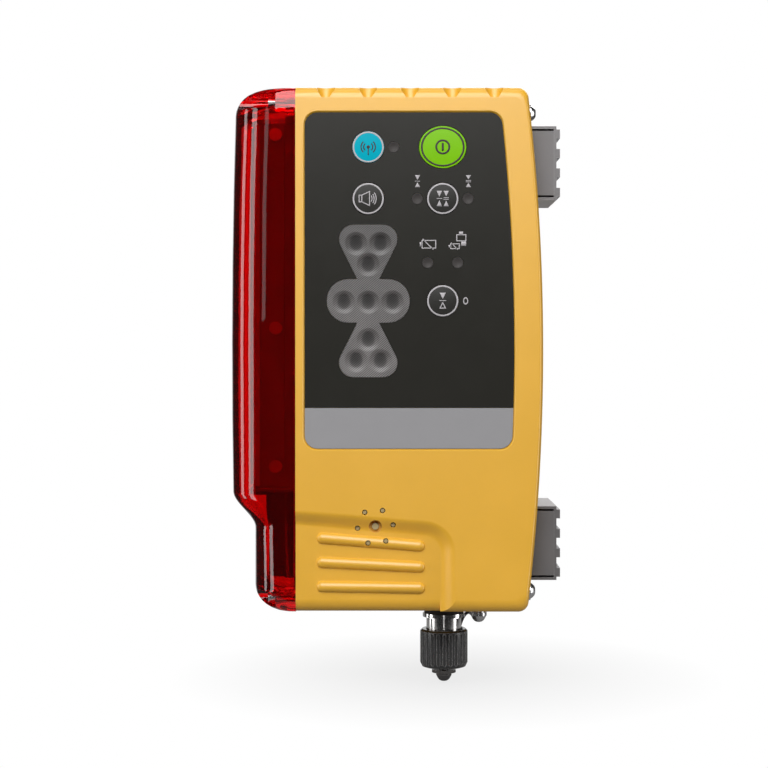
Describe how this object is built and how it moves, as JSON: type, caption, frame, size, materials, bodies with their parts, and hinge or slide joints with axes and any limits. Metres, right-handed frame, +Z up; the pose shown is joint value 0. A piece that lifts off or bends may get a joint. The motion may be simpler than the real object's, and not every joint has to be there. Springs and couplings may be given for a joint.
{
  "type": "laser receiver",
  "caption": "Machine-mount laser receiver: bowed two-shell case with a red sensor window, key panel with arrow display, magnet feet, hinged battery door and a capped power socket.",
  "frame": {"origin": "midway between the two magnet feet, in the plane of their pole faces, at mid depth", "axes": "+X out of the magnet feet towards the mast, +Y from the key panel to the battery door, +Z up"},
  "size_m": [0.1485, 0.0767, 0.2682],
  "materials": {
    "yellow_case": "fine moulded grain",
    "red_window": "clear polished red",
    "seal_rubber": "matte",
    "steel": "turned",
    "sensor_plastic": "moulded",
    "sensor_board": "solder mask",
    "diode_black": "moulded",
    "panel_dark": "fine satin sheet",
    "strip_grey": "satin sheet",
    "key_green": "satin",
    "key_teal": "satin",
    "key_dark": "satin",
    "lens_frost": "frosted",
    "lamp_red": "diffused",
    "lens_smoke": "smoked",
    "lamp_white": "diffused",
    "board_green": "solder mask",
    "vent_tan": "soft moulded",
    "cell_wrap": "shrink wrap",
    "foot_steel": "matte grey",
    "foot_core": "cast",
    "magnet_iron": "ground",
    "nickel": "nickel plate",
    "insert_black": "moulded",
    "cap_dark": "satin black",
    "lanyard_black": "cord"
  },
  "bodies": {
    "root": {"front_case": "yellow_case", "rear_case": "yellow_case", "window_cover": "red_window", "case_gasket": "seal_rubber", "window_gasket": "seal_rubber", "door_gasket": "seal_rubber", "connector_gasket": "seal_rubber", "case_screws": "steel", "window_screws": "steel", "carrier_screws": "steel", "board_screws": "steel", "door_pin": "steel", "foot_screws": "steel", "side_screws": "steel", "lanyard_screw": "steel", "lanyard_bush": "steel", "lanyard_eye": "steel", "battery_contacts": "steel", "radio_module": "steel", "sensor_carrier": "sensor_plastic", "sensor_boards": "sensor_board", "photodiodes": "diode_black", "key_switches": "diode_black", "buzzer": "diode_black", "control_panel": "panel_dark", "name_strip": "strip_grey", "display_lens": "lens_frost", "display_leds": "lamp_red", "indicator_lenses": "lens_smoke", "indicator_leds": "lamp_white", "main_board": "board_green", "vent_plug": "vent_tan", "batteries": "cell_wrap", "upper_magnet_yoke": "foot_steel", "lower_magnet_yoke": "foot_steel", "upper_magnet_core": "foot_core", "lower_magnet_core": "foot_core", "bar_magnets": "magnet_iron", "connector_shell": "nickel", "connector_nut": "nickel", "connector_insert": "insert_black", "lanyard": "lanyard_black"},
    "power_key": {"power_key": "key_green"},
    "wireless_key": {"wireless_key": "key_teal"},
    "speaker_key": {"speaker_key": "key_dark"},
    "deadband_key": {"deadband_key": "key_dark"},
    "zero_key": {"zero_key": "key_dark"},
    "cap_ring": {"cap_ring": "nickel"},
    "dust_cap": {"dust_cap": "cap_dark", "cap_rivet": "nickel"},
    "battery_door": {"battery_door": "yellow_case"},
    "door_screw": {"door_screw": "steel"}
  },
  "joints": [
    {"name": "power_press", "type": "slide", "parent": "root", "child": "power_key", "axis": [0, 1, 0], "range_m": [0, 0.0008], "stiffness_N_per_m": 1500},
    {"name": "wireless_press", "type": "slide", "parent": "root", "child": "wireless_key", "axis": [0, 1, 0], "range_m": [0, 0.0008], "stiffness_N_per_m": 1500},
    {"name": "speaker_press", "type": "slide", "parent": "root", "child": "speaker_key", "axis": [0, 1, 0], "range_m": [0, 0.0008], "stiffness_N_per_m": 1500},
    {"name": "deadband_press", "type": "slide", "parent": "root", "child": "deadband_key", "axis": [0, 1, 0], "range_m": [0, 0.0008], "stiffness_N_per_m": 1500},
    {"name": "zero_press", "type": "slide", "parent": "root", "child": "zero_key", "axis": [0, 1, 0], "range_m": [0, 0.0008], "stiffness_N_per_m": 1500},
    {"name": "cap_lift", "type": "slide", "parent": "root", "child": "cap_ring", "axis": [0, 0, -1], "range_m": [0, 0.004], "deforming": ["lanyard"]},
    {"name": "cap_turn", "type": "hinge", "parent": "cap_ring", "child": "dust_cap", "pos_m": [-0.0514, 0, -0.1345], "axis": [0, 0, -1], "range_deg": [0, 1440]},
    {"name": "door_hinge", "type": "hinge", "parent": "root", "child": "battery_door", "pos_m": [-0.0697, 0.0372, -0.0595], "axis": [-1, 0, 0], "range_deg": [0, 110]},
    {"name": "door_screw_turn", "type": "hinge", "parent": "battery_door", "child": "door_screw", "pos_m": [-0.0697, 0.034, 0.053], "axis": [0, 1, 0], "continuous": true}
  ],
  "couplings": [
    {"joint": "cap_lift", "follows": "cap_turn", "m_per_rad": 0.00015915}
  ]
}
